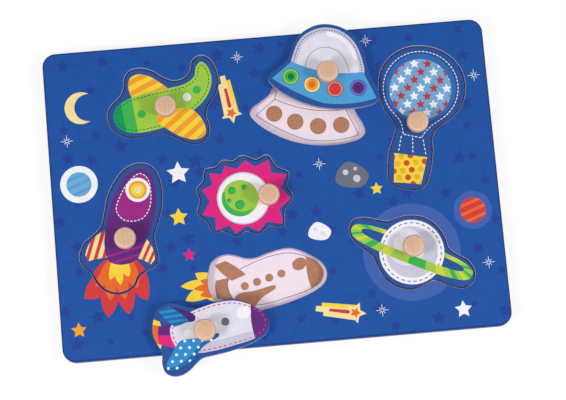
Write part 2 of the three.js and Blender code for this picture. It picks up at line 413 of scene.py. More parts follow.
# %% The ink shelf
COLOURS = {
    "night": (24, 82, 164), "night_star": (32, 66, 152), "night_edge": (20, 56, 130), "haze": (64, 98, 176),
    # rim, the colour at the top of the board's sawn walls, is a painted highlight; it fades into sawdust
    # below.
    "dusk": (38, 82, 154), "overspray": (98, 124, 216), "dust": (192, 200, 240), "rim": (232, 234, 252),
    "sawdust": (230, 218, 242), "white": (246, 245, 252), "paper": (246, 231, 241), "pencil": (108, 78, 88),
    "cream": (250, 228, 160), "sun": (250, 214, 62), "amber": (243, 163, 46), "ember": (235, 108, 42),
    "leaf": (160, 206, 72), "grass": (62, 182, 82), "fern": (10, 158, 84), "pine": (8, 122, 66),
    "moss": (46, 98, 44), "lime": (206, 218, 70), "mustard": (224, 188, 44), "brick": (204, 80, 48),
    "red": (214, 58, 60), "cherry": (186, 58, 68), "salmon": (238, 140, 112), "rose": (226, 34, 128),
    "berry": (158, 38, 134), "plum": (98, 40, 126), "grape": (70, 40, 112), "sky": (78, 164, 220),
    "pale_sky": (118, 172, 216), "surf": (46, 142, 206), "sea": (20, 108, 172), "harbour": (48, 106, 180),
    "mist": (228, 227, 240), "silver": (204, 203, 222), "slate": (112, 112, 128),
    "ply": (236, 229, 234), "cross_ply": (219, 207, 214), "glue": (166, 146, 150),
    "birch_dark": (214, 182, 146), "birch_pale": (234, 208, 178),
    "fibre_dark": (164, 110, 84), "fibre_pale": (200, 144, 112),
    "beech_dark": (212, 166, 134), "beech_pale": (233, 195, 168), "beech_ring": (208, 164, 130),
    # The pale colour for the knob's rounded rim is a painted highlight.
    "beech_painted_highlight": (246, 226, 208), "steel": (196, 198, 200),
}


def colour(name):
    """A named colour in amounts of light, with 1 as its fourth value."""
    shares = (value / 255 for value in COLOURS[name])
    light = (s / 12.92 if s <= 0.04045 else ((s + 0.055) / 1.055) ** 2.4 for s in shares)
    return (*light, 1.0)


print("colours:", len(COLOURS), "steel in light:", [round(value, 2) for value in colour("steel")])

# %% [markdown]
# ## The seven figures
#
# Each piece shows a common flying thing. A figure stays a little inside the sawn edge, so a blue
# margin is left round it. The places are millimetres from the middle of the board, for the piece in
# its own cut-out.

# %% Plane: a round body with striped wings
plane = Drawing()
upper_wing = smooth([
    (-89.5, 69), (-93, 77), (-91.5, 83.5), (-86, 86), (-78.5, 84), (-72, 79.5), (-66, 73),
])
plane.add_striped(("sun", "amber"), upper_wing, (-80, 78), 24, 7, 3.5, 5)
body = smooth([
    (-104.6, 57), (-102, 64.2), (-95, 69), (-82, 72.3), (-66, 74.6), (-54, 77), (-48, 81.5), (-46.2, 88),
    (-42.5, 91.2), (-38.8, 88), (-36.4, 80.5), (-37.6, 72.5), (-42.5, 64.5), (-52, 57), (-66, 49.6),
    (-80, 46.4), (-93, 46), (-101, 49.6),
])
hull = plane.add("leaf", body, floor=LINE)
plane.add("grass", bar((-112, 55), (-90, 57.5), 40), hull, floor=BARE)
plane.add("fern", bar((-112, 55), (-97.6, 56.5), 40), hull)
plane.add_all("moss", dashes(offset(body, -1.9), 1.5, 1.1, 0.6))
for window, ink in (((-85.5, 58.5), "grass"), ((-54, 67.5), "white"), ((-47, 72), "grass")):
    plane.add(ink, disc(window, 2.8), floor=BARE)
lower_wing = smooth([
    (-76, 54), (-64, 60), (-51, 58.5), (-44, 49), (-43.6, 41), (-49.5, 38), (-59.5, 40.5), (-68, 46),
])
plane.add_striped(("sun", "amber"), lower_wing, (-58, 48), 38, 7, 3.5, 7)
print("plane shapes:", len(plane.shapes))

# %% Saucer: a pale dome over a skirt with four lamps
LAMP_RADII = (5.6, 5.2, 4.1, 2.2)
LAMP_RINGS = {
    (3.9, 52.2): ("moss", "leaf", "grass", "pine"),
    (17.7, 45.5): ("slate", "cream", "amber", "ember"),
    (32.9, 41.1): ("grape", "salmon", "red", "red"),
    (48.6, 40.6): ("grape", "overspray", "plum", "grape"),
}
DOME_SEAM = 48

saucer = Drawing()
dome = smooth([
    (5.4, 58), (7.9, 69.9), (14.2, 79), (26.2, 83.9), (38.2, 81.9), (47.4, 74.1), (52, 63.7), (52.4, 48),
    (28, 46),
])
glass = saucer.add("silver", dome, floor=LINE)
saucer.add("mist", offset(dome, -3.6), glass)
shine = smooth([
    (31, 81), (40.5, 77), (47, 69.5), (49.5, 60), (47.6, 60), (44.5, 68), (38.5, 75), (31, 78.6),
])
saucer.add("white", shine, glass)
arch = smooth([
    (13.9, 50), (15.4, 62.4), (20.5, 68.6), (28, 70.6), (36.5, 67.6), (41.8, 60), (42.8, 46), (28, 44),
])
saucer.add("slate", arch, glass)
saucer.add("mist", offset(arch, -0.35), glass)
seam = offset(dome, -1.6)[:DOME_SEAM]
saucer.add_all("grape", dashes(seam, 0.9, 0.9, 0.7, closed=False), glass)
skirt = curved([
    (5.4, 62.4, 0), (-8.9, 52, 0.035), (24, 32.2, 0.06), (60.2, 32.6, 0), (52.8, 51.2, -0.075),
])
saucer.add("sky", skirt, floor=LINE)
for place, inks in LAMP_RINGS.items():
    for ink, radius in zip(inks, LAMP_RADII):
        saucer.add(ink, disc(place, radius), floor=BARE)
print("saucer shapes:", len(saucer.shapes))

# %% Balloon: a disc of stars, with a dotted basket on dashed ropes
BALLOON_MIDDLE = Vector((104.3, 60.2))
BALLOON_REACH = 25.4
CLOTH_SHIFT = Vector((0.3, 0.9))
STAR_PITCH = (8.8, 5.6)
STAR_TURN = -6.0
STITCH = (1.6, 0.9, 0.6)
ROPES = (((88, 28.4), (85, 17.4)), ((95.5, 26.4), (94.6, 15.4)), ((102.4, 24.6), (103.4, 13.4)))

balloon = Drawing()
balloon.add("harbour", disc(BALLOON_MIDDLE, BALLOON_REACH - 1.6), floor=LINE)
cloth = balloon.add("pale_sky", disc(BALLOON_MIDDLE - CLOTH_SHIFT, BALLOON_REACH - 4.4), floor=BARE)
lie = Matrix.Rotation(radians(STAR_TURN), 2)
for row in range(-4, 5):
    for column in range(-3, 4):
        spot = Vector(((column + row % 2 / 2) * STAR_PITCH[0], row * STAR_PITCH[1]))
        ink = "cherry" if (column + row // 2) % 2 else "white"
        balloon.add(ink, star(BALLOON_MIDDLE + lie @ spot, 3.5, 1.6), cloth)
rim = arc(BALLOON_MIDDLE, BALLOON_REACH, radians(-58), radians(214), count=60)
neck = [(88, 39.4), (89.3, 34.6), (89.5, 29.5), (101.5, 26), (104, 29.4), (109.4, 34)]
balloon.add_all("white", dashes(rim + neck, *STITCH))
for rope in ROPES:
    balloon.add_all("white", dashes(rope, *STITCH, closed=False))
basket = balloon.add("sun", [(82.2, 17.2), (104, 12.4), (98.2, -5.6), (80, -2.6)], floor=BARE)
for row in range(5):
    for column in range(5):
        spot = Vector((80.6 + 6.1 * column - 3 * (row % 2), 14.6 - 4.9 * row))
        balloon.add("mustard" if column % 2 else "brick", disc(spot, 2.0, count=24), basket)
print("balloon shapes:", len(balloon.shapes))

# %% Rocket: a panelled body with striped fins, over a flame that runs on across the board
def flame(bulge, tongues):
    """Tongues of flame with bowed sides, each inside the last."""
    bowed = {ink: [(x, y, bulge) for x, y in points] for ink, points in tongues.items()}
    return [(ink, curved(points, per=4)) for ink, points in bowed.items()]


ROCKET_FLAME = flame(0.09, {
    "red": [(-118, -39), (-127, -50), (-133, -63), (-122, -63), (-118, -77), (-110.5, -66), (-104, -76),
            (-99, -62), (-91, -68), (-90.5, -50), (-97, -40)],
    "ember": [(-115, -39), (-121, -47), (-125, -55.5), (-118.5, -55), (-116, -66), (-111, -57),
              (-106, -66), (-103, -54), (-97, -59), (-96, -50), (-100, -40)],
    "sun": [(-112, -39), (-115, -46), (-115, -52), (-111.5, -49.5), (-108, -56), (-106, -48),
            (-102.5, -51), (-101, -47), (-103, -40)],
})

rocket = Drawing()
for ink, tongue in ROCKET_FLAME:
    rocket.add(ink, tongue, floor=BARE)
left_fin = curved([(-115.5, -18.5, 0.14), (-130.2, -34, 0), (-128.6, -38.4, -0.04), (-113, -37, 0)])
rocket.add_striped(("cream", "red"), left_fin, (-121, -30), 70, 5.2, 2.4, 3)
right_fin = curved([(-88.5, -27, 0), (-97.5, -38.4, -0.04), (-87, -44, 0), (-84.3, -41, 0.1)])
rocket.add_striped(("cream", "red"), right_fin, (-90, -37), 62, 4.4, 2.0, 3)
body = smooth([
    (-89.5, 21.4), (-83.2, 17.6), (-80, 8), (-80.8, -5), (-85, -19), (-91, -31.5), (-97.5, -40.6),
    (-107, -42.6), (-114.6, -39.6), (-117, -29), (-114.6, -14), (-110.6, -1), (-104.5, 10), (-97.5, 18.4),
])
hull = rocket.add("plum", body, floor=LINE)
panel = smooth([
    (-90, 18), (-85, 14.5), (-83.4, 6), (-85, -6), (-91, -13), (-102, -13), (-107.4, -6), (-104.4, 3),
    (-98, 12.5),
])
rocket.add("berry", panel, hull)
rocket.add_all("white", dashes(panel, *STITCH), hull)
rocket.add_all("berry", stripes((-105, -36.6), 12, 5, 1.6, 2), hull)
for ink, radius in (("white", 8.2), ("amber", 6.2), ("sun", 4.6), ("cream", 2.4)):
    rocket.add(ink, disc((-92, 7), radius), hull, floor=BARE)
print("rocket shapes:", len(rocket.shapes))

# %% Starburst: a ragged sun round a spotted green moon
BURST_MIDDLE = Vector((-21, -3.6))
BURST_NOTCH = 0.82
BURST_TIPS = [
    (-50, -13.6), (-41.8, -25), (-28.6, -28), (-13, -28), (3.6, -24.4), (10, -7.4),
    (8.4, 8.8), (-2.8, 19.6), (-18.4, 20.8), (-32.4, 18.2), (-43.2, 14), (-49, 3),
]
MOON_SPOTS = (((-29, 1), 2.6), ((-24.4, -9), 3.2), ((-20.6, 2.6), 1.8), ((-31.4, -5.6), 1.5))

starburst = Drawing()
burst = []
for tip, following in sides(BURST_TIPS):
    notch = (Vector(tip) + Vector(following)) / 2
    burst += [Vector(tip), BURST_MIDDLE + (notch - BURST_MIDDLE) * BURST_NOTCH]
starburst.add("rose", burst, floor=LINE)
starburst.add("silver", disc((-21.8, -4.8), 17.8), floor=BARE)
starburst.add("white", disc((-21.8, -4.8), 16.9))
moon = starburst.add("leaf", disc((-24, -4.6), 12.4))
starburst.add("grass", disc((-28.5, -8.5), 13.5, 10), moon)
starburst.add("leaf", disc((-22.4, -2.2), 11.6), moon)
for spot, radius in MOON_SPOTS:
    starburst.add("fern", disc(spot, radius, count=32), moon)
    starburst.add("grass", disc(Vector(spot) + Vector((0.35, -0.35)), radius - 0.5, count=32), moon)
print("starburst shapes:", len(starburst.shapes))

# %% Shuttle: a pale hull with a dark nose, a striped tail and a dotted wing
SHUTTLE_FLAME = flame(0.08, {
    "sun": [(-44, -55), (-58, -52.5), (-56.5, -57), (-68.5, -60.5), (-60, -63.5), (-66, -70.5), (-52, -70),
            (-44, -73)],
    "ember": [(-44, -58), (-55, -57.5), (-53, -60.5), (-60, -63), (-53, -65), (-56, -68), (-44, -69.5)],
})

shuttle = Drawing()
for ink, tongue in SHUTTLE_FLAME:
    shuttle.add(ink, tongue)
engine = curved([(-35, -56.6, 0), (-45, -58, 0.06), (-45, -70, 0), (-33, -73.4, 0)])
shuttle.add("rose", engine, floor=BARE)
shuttle.add("plum", curved([(-35, -56.6, 0), (-45, -58, 0.02), (-45.4, -64, 0), (-33, -64.6, 0)]))
body = smooth([
    (-37.4, -60), (-31, -53.2), (-20, -48.2), (-6, -44.2), (6, -43.4), (16, -46.4), (24, -51), (27.6, -58.6),
    (24.6, -65.4), (16, -69.8), (4, -73), (-9.5, -76), (-21, -76.8), (-33, -73.4),
])
hull = shuttle.add("mist", body, floor=LINE)
shuttle.add("silver", curved([(-40, -84, 0), (30, -78, 0), (30, -60.5, -0.02), (-40, -74, 0)]), hull)
nose = curved([(17.8, -40, 0.08), (20.4, -74, 0), (36, -74, 0), (36, -40, 0)])
shuttle.add("plum", nose, hull, floor=BARE)
shuttle.add_all("rose", dashes(offset(body, -1.5), 2.0, 1.4, 0.7), hull)
for k, ink in enumerate(("white", "slate", "white", "slate")):
    shuttle.add(ink, disc((-25.9 + 8.4 * k, -63.3 + 2.1 * k), 2.7), hull, floor=BARE)
pane = smooth([(8.4, -55), (7, -51), (10.6, -47.6), (15.4, -48), (16.4, -52), (13.4, -55.4)])
shuttle.add("white", pane, hull, floor=BARE)
far_fin = smooth([(-37, -46), (-29, -47.4), (-20.6, -52), (-21, -55.2), (-26, -56), (-31, -51)])
shuttle.add("grape", far_fin)
tail = curved([(-44.8, -47.6, 0.05), (-34.2, -59, 0), (-24.4, -55.6, 0.04), (-37.6, -45.2, 0)])
shuttle.add_striped(("sea", "surf"), tail, (-34, -51.6), 6, 3.6, 1.8, 5)
wing = smooth([
    (-31, -68.4), (-20, -67), (-5.4, -64.6), (-5.4, -66.4), (-15.4, -72.4), (-23.4, -81), (-32.4, -86.6),
    (-39.6, -87.4), (-40.6, -83.6), (-36.6, -76.4),
])
blade = shuttle.add("sea", wing, floor=BARE)
shuttle.add("surf", [p + Vector((-1.6, 0.8)) for p in offset(wing, -0.9)], blade)
for row in range(5):
    for column in range(7):
        spot = Vector((-39.6 + 5.8 * column + 2.9 * (row % 2), -68.6 - 4.4 * row))
        shuttle.add("white", disc(spot, 0.95, count=20), blade)
print("shuttle shapes:", len(shuttle.shapes))

# %% Planet: a pale ball with a banded ring
PLANET_MIDDLE = Vector((87.4, -50.8))
RING_TILT = -26.4
RING_OUTSIDE = Vector((43.2, 8.0))
RING_INSIDE = Vector((36.6, 3.5))
RING_LIFT = Vector((0, 1.5))
RING_FLATTEN = 0.7
RING_BANDS = ("leaf", "grass", "leaf", "lime")


def ring_part(first, last, count=8):
    """A stretch of a tilted, flattened ring between two angles in degrees, broader in front than behind."""
    lie = Matrix.Rotation(radians(RING_TILT), 2)
    angles = [radians(first + (last - first) * k / count) for k in range(count + 1)]
    turns = [(cos(a), sin(a)) for a in angles]
    spokes = [Vector([copysign(abs(v) ** RING_FLATTEN, v) for v in turn]) for turn in turns]
    outside = [RING_OUTSIDE * spoke for spoke in spokes]
    inside = [RING_INSIDE * spoke + RING_LIFT for spoke in reversed(spokes)]
    return [PLANET_MIDDLE + lie @ point for point in outside + inside]


def add_half_ring(art, first, parts):
    for k in range(parts):
        part = ring_part(first + 180 * k / parts, first + 180 * (k + 1) / parts)
        art.add(RING_BANDS[k % len(RING_BANDS)], part, floor=BARE)


planet = Drawing()
add_half_ring(planet, 0, 12)
planet.add("white", disc(PLANET_MIDDLE, 21.8), floor=LINE)
ball = planet.add("silver", disc(PLANET_MIDDLE, 17.4), floor=LINE)
planet.add("mist", disc(PLANET_MIDDLE + Vector((-3.4, 3.8)), 12.6), ball)
planet.add("white", disc(PLANET_MIDDLE + Vector((-6.4, 7.4)), 6.4, 4.4, 40), ball)
planet.add_all("slate", dashes(disc(PLANET_MIDDLE, 19.8, count=72), 2.4, 1.6, 0.7))
add_half_ring(planet, 180, 18)
print("planet shapes:", len(planet.shapes))

# %% [markdown]
# ## The board's own print
#
# The board is a night sky: dark stars a little deeper than the blue itself, white sparkles, and a few
# small bright things between the cut-outs. The dark stars are scattered by a seeded draw, so they fall
# in the same places on every run. Where a flame passes a sawn edge, the board has its other half.

# %% Things in the sky
SPARKLE_REACH = (4.2, 2.8)
TRAIL = (("cream", 2.6, 0.8, 5.0), ("sun", -2.6, 0.86, 5.0), ("cream", 0, 1.0, 5.0), ("red", 0, 0.66, 2.8))
TRAIL_TAPER = 0.7
ROCK_EDGE = ((0, 1.0), (50, 0.86), (100, 1.05), (150, 0.9), (200, 1.0), (255, 0.82), (310, 0.98))
ROCK_LENGTH = 1.2
ROCK_PITS = ((-0.4, 0.3, 0.2), (0.35, -0.2, 0.26), (0.3, 0.5, 0.13))


def sparkle(art, place):
    for k in range(8):
        tip = Vector(place) + polar(pi * k / 4, SPARKLE_REACH[k % 2])
        art.add("white", bar(Vector(place).lerp(tip, 0.22), tip, 0.5, 0.25))


def shooting_star(art, head, tail):
    head, tail = Vector(head), Vector(tail)
    along = (tail - head).normalized()
    side = Vector((-along.y, along.x))
    for ink, shift, share, width in TRAIL:
        foot = head + side * shift
        art.add(ink, bar(foot, foot + (tail - head) * share, width, width * TRAIL_TAPER))
    turn = degrees(atan2(along.y, along.x)) + 180
    art.add("cream", star(head, 7.4, 3.6, turn))
    art.add("ember", star(head, 3.8, 1.9, turn))


def small_planet(art, place, radius, halo, inks):
    art.add(halo, disc(place, radius * 1.5))
    art.add_striped(inks, disc(place, radius), place, 20, radius * 0.62, radius * 0.24, 3)


def rock(art, place, size, ink, pit):
    edge = []
    for turn, reach in ROCK_EDGE:
        corner = Vector((ROCK_LENGTH * cos(radians(turn)), sin(radians(turn))))
        edge.append(Vector(place) + size * reach * corner)
    art.add(ink, smooth(edge))
    for x, y, radius in ROCK_PITS:
        art.add(pit, disc(Vector(place) + size * Vector((x, y)), size * radius, count=24))


def crescent(art, place, radius, ink, shift=0.45, bite=0.85):
    """A moon with a smaller circle bitten out of it, whose middle is shifted to the right."""
    tip = acos((1 + shift**2 - bite**2) / (2 * shift))
    bite_tip = atan2(sin(tip), cos(tip) - shift)
    hollow = Vector(place) + Vector((radius * shift, 0))
    outside = arc(place, radius, tip, 2 * pi - tip)
    inside = arc(hollow, radius * bite, 2 * pi - bite_tip, bite_tip)
    art.add(ink, outside + inside)


print("streaks of a shooting star:", len(TRAIL))

# %% Night sky
SKY_SEED = 11
STAR_COLUMNS = 14
STAR_ROWS = 10
SMALL_STARS = (
    ((-64, 16), 8, "white"), ((-66, -14), 6.4, "sun"), ((-61, -40), 4.6, "rose"), ((68, -6), 4.4, "sun"),
    ((-138, -84), 5.4, "amber"), ((118, -92), 6, "white"),
)
SPARKLES = ((-137, 44), (-18, 92), (70, 96), (141, 66), (31, 14), (64, -88), (-85, -92), (138, -62))

night = Drawing()
draw = random.Random(SKY_SEED)
for k in range(STAR_COLUMNS * STAR_ROWS):
    row, column = divmod(k, STAR_COLUMNS)
    cell = Vector((column + draw.uniform(0.1, 0.9), row + draw.uniform(0.1, 0.9)))
    share = Vector((cell.x / STAR_COLUMNS * 2 - 1, cell.y / STAR_ROWS * 2 - 1))
    size = draw.uniform(3.2, 5.6)
    turn = draw.uniform(70, 110)
    place = (share.x * (TRAY_HIGH.x / MM), share.y * (TRAY_HIGH.y / MM))
    night.add("night_star", star(place, size, size * 0.48, turn))
night.add("haze", disc(PLANET_MIDDLE, 32.8, count=72))
for ink, tongue in ROCKET_FLAME + SHUTTLE_FLAME:
    night.add(ink, tongue)
crescent(night, (-126, 66), 11, "cream")
small_planet(night, (-131, 14), 8.4, "white", ("pale_sky", "sky"))
small_planet(night, (131, -26), 8.6, "haze", ("red", "ember"))
shooting_star(night, (-25, 54), (-29, 80))
shooting_star(night, (46, -88), (20, -83))
rock(night, (52, 4), 9.6, "slate", "silver")
rock(night, (27, -32), 6.6, "white", "mist")
for place, size, ink in SMALL_STARS:
    night.add(ink, star(place, size, size * 0.5))
for place in SPARKLES:
    sparkle(night, place)
print("sky shapes:", len(night.shapes))

# %% [markdown]
# ## Cutting a printed face
#
# A printed face starts as a flat outline. A constrained triangulation takes the outline, the holes and
# every shape of the drawing at once, and gives triangles that never cross an edge of any of them. Each
# triangle then takes the last ink printed over it. The result is one clean sheet, with no sheets
# stacked on each other. Its colour is kept in an attribute called ink, whose fourth value says whether
# there is ink at all, because the hardboard is left bare in places.

# %% Triangles that follow the print
WELD = 1e-4
INSIDE_ONLY = 1
NO_INK = (0.0, 0.0, 0.0, 0.0)


def facing_up(loop):
    return list(loop) if signed_area(loop) > 0 else list(reversed(loop))


def cut_face(edge, holes, art, ground):
    """Points in millimetres, triangles, and the ink of each triangle."""
    points, loops = [], []
    for loop in [edge, *holes, *(shape.loop for shape in art.shapes)]:
        loops.append(list(range(len(points), len(points) + len(loop))))
        points.extend(facing_up(loop))
    found = delaunay_2d_cdt(points, [], loops, INSIDE_ONLY, WELD, True)
    corners, _, triangles, _, _, sources = found
    first_shape = 1 + len(holes)
    kept, inks = [], []
    for triangle, source in zip(triangles, sources):
        over = set(source)
        if 0 not in over or any(k in over for k in range(1, first_shape)):
            continue
        ink = ground
        for k, shape in enumerate(art.shapes, first_shape):
            if k in over and (shape.within is None or first_shape + shape.within in over):
                ink = shape.ink
        kept.append(triangle)
        inks.append(ink)
    return corners, kept, inks


def ink_colour(ink):
    return NO_INK if ink == BARE else colour(ink)


def paint(mesh, inks):
    """Gives each face its ink. A face without one keeps what it has."""
    layer = mesh.attributes.get("ink") or mesh.attributes.new("ink", "FLOAT_COLOR", "CORNER")
    for face, ink in zip(mesh.polygons, inks):
        if ink:
            for corner in face.loop_indices:
                layer.data[corner].color = ink_colour(ink)


def flat_sheet(name, level, edge, holes, art, ground):
    """A printed sheet, still flat and open, at a height in metres."""
    points, triangles, inks = cut_face(edge, holes, art, ground)
    mesh = bpy.data.meshes.new(name)
    mesh.from_pydata([(p.x * MM, p.y * MM, level) for p in points], [], triangles)
    paint(mesh, inks)
    sheet = bpy.data.objects.new(name, mesh)
    bpy.context.collection.objects.link(sheet)
    return sheet


print("faces of a plain square:", len(cut_face(bar((0, 0), (9, 0), 9), [], Drawing(), "night")[1]))

# %% [markdown]
# ## Edges of the solids
#
# The finer meshes have to sit exactly where the solids are, so their outlines are read from the solids
# instead of being typed again. The level edges of a face are those with one flat neighbour and one
# steep one. Chained end to end they give the outer loop and one loop for every hole.

# %% Read the level loops of a solid
LEVEL = 0.999
SAME_POINT = 1e-6
SAME_HEIGHT = 1e-5


def level_loops(node, level):
    """The closed loops round a solid's flat faces at a height, in millimetres, the largest first."""
    bm = bmesh.new()
    bm.from_mesh(frame["nodes"][node].data)
    bmesh.ops.remove_doubles(bm, verts=bm.verts, dist=SAME_POINT)
    follows = {}
    for edge in bm.edges:
        flat = [face for face in edge.link_faces if abs(face.normal.z) > LEVEL]
        if len(flat) == 1 and all(abs(vert.co.z - level) < SAME_HEIGHT for vert in edge.verts):
            for vert in edge.verts:
                follows.setdefault(vert, []).append(edge.other_vert(vert))
    loops = []
    while follows:
        here = next(iter(follows))
        loop = []
        while here in follows:
            loop.append(Vector((here.co.x, here.co.y)) / MM)
            ways = follows.pop(here)
            here = next((way for way in ways if way in follows), ways[0])
        loops.append(facing_up(loop))
    bm.free()
    return sorted(loops, key=signed_area, reverse=True)


board_loops = level_loops("board_frame", TRAY_TOP)
print("loops on the board's face:", [round(signed_area(loop)) for loop in board_loops])

# %% [markdown]
# ## Sawn walls
#
# A sheet gets its thickness as it would by hand: its open edges are extruded down, in a few short
# steps where the edge is rounded and one long step for the wall, and the bottom is filled. Every point
# of the edge remembers which way is out, so the same steps work for an outer edge and for a hole.

# %% Select and edit
def pick(piece):
    """Makes a piece the active one, and the only one selected."""
    bpy.ops.object.select_all(action="DESELECT")
    piece.select_set(True)
    bpy.context.view_layer.objects.active = piece


def start_editing(piece):
    pick(piece)
    bpy.ops.object.mode_set(mode="EDIT")
    bpy.ops.mesh.select_mode(type="EDGE")
    bpy.ops.mesh.select_all(action="SELECT")


def stop_editing():
    bpy.ops.mesh.select_all(action="SELECT")
    bpy.ops.mesh.normals_make_consistent(inside=False)
    bpy.ops.object.mode_set(mode="OBJECT")


def select_open(piece, chosen):
    """Selects the open edges whose middle is chosen."""
    bpy.ops.mesh.select_all(action="DESELECT")
    bm = bmesh.from_edit_mesh(piece.data)
    for edge in bm.edges:
        middle = (edge.verts[0].co + edge.verts[1].co) / 2
        edge.select_set(edge.is_boundary and chosen(middle))


print("mode:", bpy.context.mode)

# %% Extrude and fill
def everywhere(place):
    return True


def remember_outward(piece):
    """Stores the outward direction of every open edge's points, and keeps the flat face's edge crisp."""
    bpy.ops.mesh.delete_loose()
    bm = bmesh.from_edit_mesh(piece.data)
    outward = bm.verts.layers.float_vector.new("outward")
    for edge in bm.edges:
        if edge.is_boundary:
            corner = edge.link_loops[0]
            along = corner.link_loop_next.vert.co - corner.vert.co
            side = Vector((along.y, -along.x, 0)).normalized()
            for vert in edge.verts:
                vert[outward] = vert[outward] + side
            edge.smooth = False
    for vert in bm.verts:
        if vert.is_boundary:
            mean = vert[outward] / 2
            vert[outward] = mean / max(mean.length_squared, MITRE_LIMIT)
    bmesh.update_edit_mesh(piece.data)


def extrude_edge(piece, steps, chosen):
    """Extrudes the chosen open edges by steps of (out, down) in millimetres."""
    select_open(piece, chosen)
    for out, down in steps:
        bpy.ops.mesh.extrude_edges_move(TRANSFORM_OT_translate={"value": (0, 0, -down * MM)})
        bm = bmesh.from_edit_mesh(piece.data)
        outward = bm.verts.layers.float_vector["outward"]
        for vert in bm.verts:
            if vert.select:
                vert.co += vert[outward] * (out * MM)
        bmesh.update_edit_mesh(piece.data)


def saw(piece, *cuts):
    """Gives a flat sheet its walls and its bottom. Each cut has its steps and says which edges it takes."""
    start_editing(piece)
    remember_outward(piece)
    for steps, chosen in cuts:
        extrude_edge(piece, steps, chosen)
    select_open(piece, everywhere)
    bpy.ops.mesh.fill()
    stop_editing()


def quarter_round(radius, count):
    """Steps that turn a flat face's edge into an upright wall."""
    angles = [pi / 2 * k / count for k in range(count + 1)]
    places = [(radius * sin(a), radius * (1 - cos(a))) for a in angles]
    return [(b[0] - a[0], b[1] - a[1]) for a, b in zip(places, places[1:])]


print("steps of a rounded edge:", quarter_round(1.0, 2))

# %% Walls, shading and hand-over
SMOOTH_ANGLE = 32


def paint_wall(mesh, wall, top, inks, reach):
    """Fades the walls from one ink at the top to another, over a distance in millimetres."""
    layer = mesh.attributes["ink"]
    first, last = (Vector(ink_colour(ink)) for ink in inks)
    for face in mesh.polygons:
        if face.material_index == wall:
            for corner in face.loop_indices:
                depth = (top - mesh.vertices[mesh.loops[corner].vertex_index].co.z) / MM
                layer.data[corner].color = first.lerp(last, min(1.0, depth / reach))


def finish_mesh(piece, materials):
    """Adds the materials, and shades the long curves smooth while the crisp edges stay."""
    for material in materials:
        piece.data.materials.append(material)
    pick(piece)
    bpy.ops.object.shade_smooth_by_angle(angle=radians(SMOOTH_ANGLE), keep_sharp_edges=True)
    spare = piece.data.attributes.get("outward")
    if spare:
        piece.data.attributes.remove(spare)


def hand_over(piece, body, node):
    """Puts the finished piece on the body that it moves with, and hides the solid that it stands for."""
    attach(piece, body)
    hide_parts(node)


print("shaded smooth up to", SMOOTH_ANGLE, "degrees")

# %% [markdown]
# ## Effects that several finishes share
#
# Wood grain and a slow change of tone turn up in more than one finish, so each is a node group with a
# few inputs. A group only gives out a number that changes over the surface. Every finish places the
# group with its own values and decides what the number does.

# %% Helpers for groups
FLOAT = "NodeSocketFloat"


def new_group(name, inputs, output):
    group = bpy.data.node_groups.new(name, "ShaderNodeTree")
    for socket, kind in inputs.items():
        group.interface.new_socket(socket, in_out="INPUT", socket_type=kind)
    group.interface.new_socket(output, in_out="OUTPUT", socket_type=FLOAT)
    return group, group.nodes.new("NodeGroupInput").outputs, group.nodes.new("NodeGroupOutput").inputs[0]


def use_group(tree, group, **inputs):
    node = tree.nodes.new("ShaderNodeGroup")
    node.node_tree = group
    for name, value in inputs.items():
        plug(tree, value, node.inputs[name])
    return node.outputs[0]


def object_coords(tree):
    return tree.nodes.new("ShaderNodeTexCoord").outputs["Object"]


def stretched(tree, scale):
    """Object coordinates drawn out along the grain."""
    return place_node(tree, "ShaderNodeMapping", Vector=object_coords(tree), Scale=scale).outputs[0]


def noise(tree, **inputs):
    return place_node(tree, "ShaderNodeTexNoise", **inputs).outputs[0]


print("groups so far:", len(bpy.data.node_groups))

# %% Wood grain: long streaks with finer ones between
BROAD_SHARE = 0.7
FINE_SHARE = 0.3

wood_grain, given, grain_out = new_group("wood_grain", {"Vector": "NodeSocketVector"}, "Grain")
broad = noise(wood_grain, Vector=given[0], Scale=1.0, Detail=6.0, Roughness=0.62, Distortion=0.4)
fine = noise(wood_grain, Vector=given[0], Scale=4.5, Detail=3.0, Roughness=0.5)
broad = calc(wood_grain, "MULTIPLY", broad, BROAD_SHARE)
fine = calc(wood_grain, "MULTIPLY", fine, FINE_SHARE)
plug(wood_grain, calc(wood_grain, "ADD", broad, fine), grain_out)


def grain_along(tree, scale):
    return use_group(tree, wood_grain, Vector=stretched(tree, scale))


print("nodes in the grain:", len(wood_grain.nodes))

# %% Slow change of tone
slow_tone, given, tone_out = new_group("slow_tone", {"Scale": FLOAT, "Low": FLOAT, "High": FLOAT}, "Factor")
clouds = noise(slow_tone, Vector=object_coords(slow_tone), Scale=given["Scale"], Detail=3.0, Roughness=0.55)
plug(slow_tone, spread(slow_tone, clouds, given["Low"], given["High"]), tone_out)


def toned(tree, shown, scale, low, high):
    """A colour that is a little lighter here and darker there."""
    return times(tree, shown, use_group(tree, slow_tone, Scale=scale, Low=low, High=high))


print("nodes in the tone:", len(slow_tone.nodes))

# %% [markdown]
# ## Finishes
#
# The printed face is ink under a thin satin varnish, with the grain of the plywood just showing
# through. The sawn walls show the plies as thin level bands under a wash of colour, pale in the board
# and bluer on the pieces; the top of the board's walls is painted lighter, a painted highlight. The
# undersides of the pieces are bare birch. The back is brown hardboard, full of short fibres, the knobs
# are pale beech with a painted highlight round the rim, and the screws are plated steel. Numbers that
# are the same all over are typed on the shader itself.

# %% Printed plywood
def add_bump(tree, shader, height, strength, depth):
    """Lets light catch on a height, whose depth is in millimetres."""
    bump = place_node(tree, "ShaderNodeBump", Height=height, Strength=strength, Distance=depth * MM)
    plug(tree, bump.outputs[0], shader["Normal"])


def ink_layer(tree):
    """The print's colour, and whether there is ink."""
    layer = tree.nodes.new("ShaderNodeAttribute")
    layer.attribute_name = "ink"
    return layer.outputs["Color"], layer.outputs["Alpha"]


